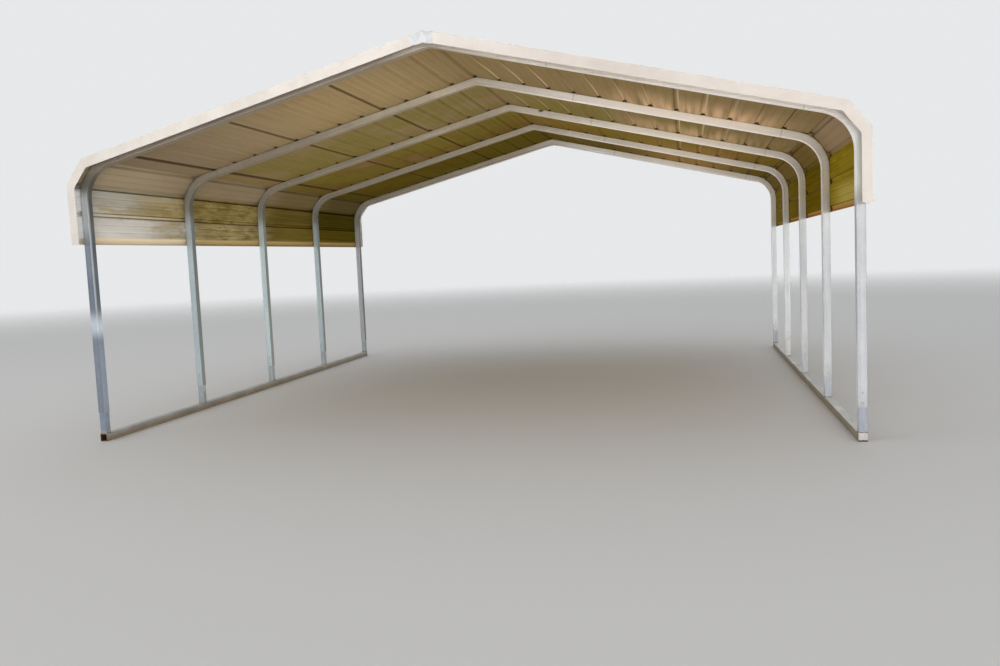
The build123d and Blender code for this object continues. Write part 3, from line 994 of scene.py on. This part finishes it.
HALF_PLATE = 0.0305
PLATE_EDGE = ((0.0, 0.0), (0.0, 0.0022), (0.0010, 0.0030))


def rail_end_plate():
    """Plate welded over the right rail's front end, with its outer edge eased."""
    shape = bmesh.new()
    centre = Vector((LEG_X, BOW_YS[0] - TUBE / 2, TUBE / 2))
    square = eased_square(HALF_PLATE)
    rings = []
    for shrink, depth in PLATE_EDGE:
        scale = (HALF_PLATE - shrink) / HALF_PLATE
        rings.append([centre + Vector((a * scale, -depth, b * scale)) for a, b, _ in square])
    skin(shape, rings)
    add_piece("rail_end_plate", shape, plate_steel)


OVERLAY = 0.0010
EASED_SHARE = 0.3


def thin_plate(name, outline):
    """Flat plate on the front trim's face, with its outline in X and Z."""
    shape = bmesh.new()
    back = [(x, -TRIM_FRONT, z) for x, z in outline]
    front = [(x, -TRIM_FRONT - OVERLAY, z) for x, z in outline]
    skin(shape, [back, front])
    bmesh.ops.bevel(shape, geom=shape.edges[:], offset=OVERLAY * EASED_SHARE, segments=1, affect="EDGES")
    add_piece(name, shape, pale_trim)


LAP_TOP_START = 0.06
LAP_FOOT_START = 0.16
FLARE_RUN = 0.10


def trim_lap(name, side, stop, flare):
    """Where a front trim is cut and lapped over itself on the facet above the eave."""
    reach = 2 * (HALF_FLAT + TRIM_TOP * math.tan(EAVE_TURN / 4))
    begin = UPPER_FOLD - along(FOLD_TILT) * (reach / 2 - HALF_FLAT)
    top = ((LAP_TOP_START, 0.0), (stop - FLARE_RUN, 0.0), (stop, flare))
    corners = top + ((stop, -BEND_FACE), (LAP_FOOT_START, -BEND_FACE))
    outline = []
    for share, height in corners:
        point = begin + along(FOLD_TILT) * (reach * share) + outward(FOLD_TILT) * (TRIM_TOP + height)
        outline.append((side * point.x, point.z))
    thin_plate(name, outline)


def bent_trim_end():
    """Foot of the right front trim, cut askew and bent a little outwards."""
    outer = LOWER_FOLD.x + TRIM_TOP
    inner = outer - WALL_FACE
    foot = LOWER_FOLD.z - WALL_LENGTH
    outline = [
        (inner + 0.0005, foot + 0.070),
        (inner + 0.022, foot - 0.019),
        (outer + 0.021, foot + 0.010),
        (outer + 0.003, foot + 0.055),
        (outer, foot + 0.120),
    ]
    thin_plate("trim_foot_right", outline)


sheet_screws(-1, "sheet_screws_left")
sheet_screws(1, "sheet_screws_right")
bow_screws()
foot_welds()
rail_end_plate()
trim_lap("trim_lap_left", -1, stop=0.62, flare=0.010)
trim_lap("trim_lap_right", 1, stop=0.22, flare=0.002)
bent_trim_end()


# Camera at the photograph's place, solved from the bows, ribs and legs.
EYE = Vector((1.84241, -9.46644, 1.39111))
YAW = math.radians(12.28)
PITCH = math.radians(-4.89)
ROLL = math.radians(-2.57)
SENSOR = 36.0
FOCAL_SHARE = 0.86992


def place_camera():
    forward = Vector((-math.sin(YAW) * math.cos(PITCH), math.cos(YAW) * math.cos(PITCH), math.sin(PITCH)))
    level = Vector((math.cos(YAW), math.sin(YAW), 0.0))
    upright = level.cross(forward)
    right = level * math.cos(ROLL) + upright * math.sin(ROLL)
    up = upright * math.cos(ROLL) - level * math.sin(ROLL)
    data = bpy.data.cameras.new("camera")
    data.sensor_fit = "HORIZONTAL"
    data.sensor_width = SENSOR
    data.lens = FOCAL_SHARE * SENSOR
    data.clip_start = 0.05
    data.clip_end = 400.0
    camera = bpy.data.objects.new("camera", data)
    turn = Matrix((right, up, -forward)).transposed()
    camera.matrix_world = Matrix.Translation(EYE) @ turn.to_4x4()
    bpy.context.scene.collection.objects.link(camera)
    bpy.context.scene.camera = camera


# Floor, world and lamps.
FLOOR_RADIUS = 45.0
FLOOR_SIDES = 96
FLOOR_FADES_FROM = 14.0
FLOOR_GONE_AT = 40.0


def make_floor():
    """Plain pale disc that fades out before its edge."""
    mesh = bpy.data.meshes.new("floor")
    shape = bmesh.new()
    bmesh.ops.create_circle(shape, cap_ends=True, radius=FLOOR_RADIUS, segments=FLOOR_SIDES)
    shape.to_mesh(mesh)
    shape.free()
    floor = bpy.data.objects.new("floor", mesh)
    bpy.context.scene.collection.objects.link(floor)
    g = Graph("floor")
    far = g.ramp(g.length(g.place()), FLOOR_FADES_FROM, FLOOR_GONE_AT)
    shader = g.add("BsdfPrincipled")
    shader.inputs["Base Color"].default_value = rgb(0.74, 0.73, 0.71)
    shader.inputs["Roughness"].default_value = 0.8
    clear = g.add("BsdfTransparent")
    blend = g.add("MixShader", far, shader.outputs[0], clear.outputs[0])
    g.tree.links.new(blend.outputs[0], g.output.inputs[0])
    mesh.materials.append(g.material)


SKY_COLOR = rgb(0.95, 0.97, 1.0)
BACKDROP_COLOR = rgb(0.80, 0.81, 0.82)
LEFT_STRENGTH = 0.70
RIGHT_STRENGTH = 0.50


def make_world():
    """Soft light all round, stronger from the left, behind a plain pale backdrop."""
    world = bpy.data.worlds.new("studio")
    bpy.context.scene.world = world
    world.use_nodes = True
    tree = world.node_tree
    tree.nodes.clear()
    output = tree.nodes.new("ShaderNodeOutputWorld")
    direction = tree.nodes.new("ShaderNodeTexCoord")
    split = tree.nodes.new("ShaderNodeSeparateXYZ")
    tree.links.new(direction.outputs["Generated"], split.inputs[0])
    level = tree.nodes.new("ShaderNodeMapRange")
    tree.links.new(split.outputs[0], level.inputs[0])
    for socket, value in zip(level.inputs[1:5], (-1.0, 1.0, LEFT_STRENGTH, RIGHT_STRENGTH)):
        socket.default_value = value
    lights = tree.nodes.new("ShaderNodeBackground")
    lights.inputs[0].default_value = SKY_COLOR
    tree.links.new(level.outputs[0], lights.inputs[1])
    seen = tree.nodes.new("ShaderNodeBackground")
    seen.inputs[0].default_value = BACKDROP_COLOR
    seen.inputs[1].default_value = 1.0
    path = tree.nodes.new("ShaderNodeLightPath")
    blend = tree.nodes.new("ShaderNodeMixShader")
    shown = path.outputs["Is Camera Ray"]
    for kind in ("Is Glossy Ray", "Is Transmission Ray"):
        either = tree.nodes.new("ShaderNodeMath")
        either.operation = "MAXIMUM"
        tree.links.new(shown, either.inputs[0])
        tree.links.new(path.outputs[kind], either.inputs[1])
        shown = either.outputs[0]
    tree.links.new(shown, blend.inputs[0])
    tree.links.new(lights.outputs[0], blend.inputs[1])
    tree.links.new(seen.outputs[0], blend.inputs[2])
    tree.links.new(blend.outputs[0], output.inputs[0])


WARM_WHITE = (1.0, 0.98, 0.95)
WARMER = (1.0, 0.97, 0.93)
EARTH_LIGHT = (1.0, 0.95, 0.87)


def area_lamp(name, place, target, size, watts, color, spread=180.0):
    data = bpy.data.lights.new(name, "AREA")
    data.spread = math.radians(spread)
    data.shape = "RECTANGLE"
    data.size, data.size_y = size
    data.energy = watts
    data.color = color
    lamp = bpy.data.objects.new(name, data)
    lamp.location = place
    lamp.rotation_mode = "QUATERNION"
    lamp.rotation_quaternion = (Vector(target) - Vector(place)).to_track_quat("-Z", "Y")
    lamp.visible_camera = False
    bpy.context.scene.collection.objects.link(lamp)


place_camera()
make_floor()
make_world()
area_lamp("key", (-12.0, -12.0, 6.5), (0.0, 0.0, 1.5), (8.0, 8.0), 350.0, WARM_WHITE)
area_lamp("front", (6.5, -20.0, 2.2), (0.0, -1.0, 1.9), (12.0, 1.6), 205.0, WARM_WHITE, 60.0)
area_lamp("bounce", (1.8, -8.6, 0.12), (0.9, -3.0, 2.7), (8.0, 2.4), 53.0, WARMER, 60.0)
area_lamp("fill", (0.0, 0.0, 0.03), (0.0, 0.0, 2.0), (5.6, 6.4), 95.0, EARTH_LIGHT)

bpy.context.scene.view_settings.view_transform = "Standard"
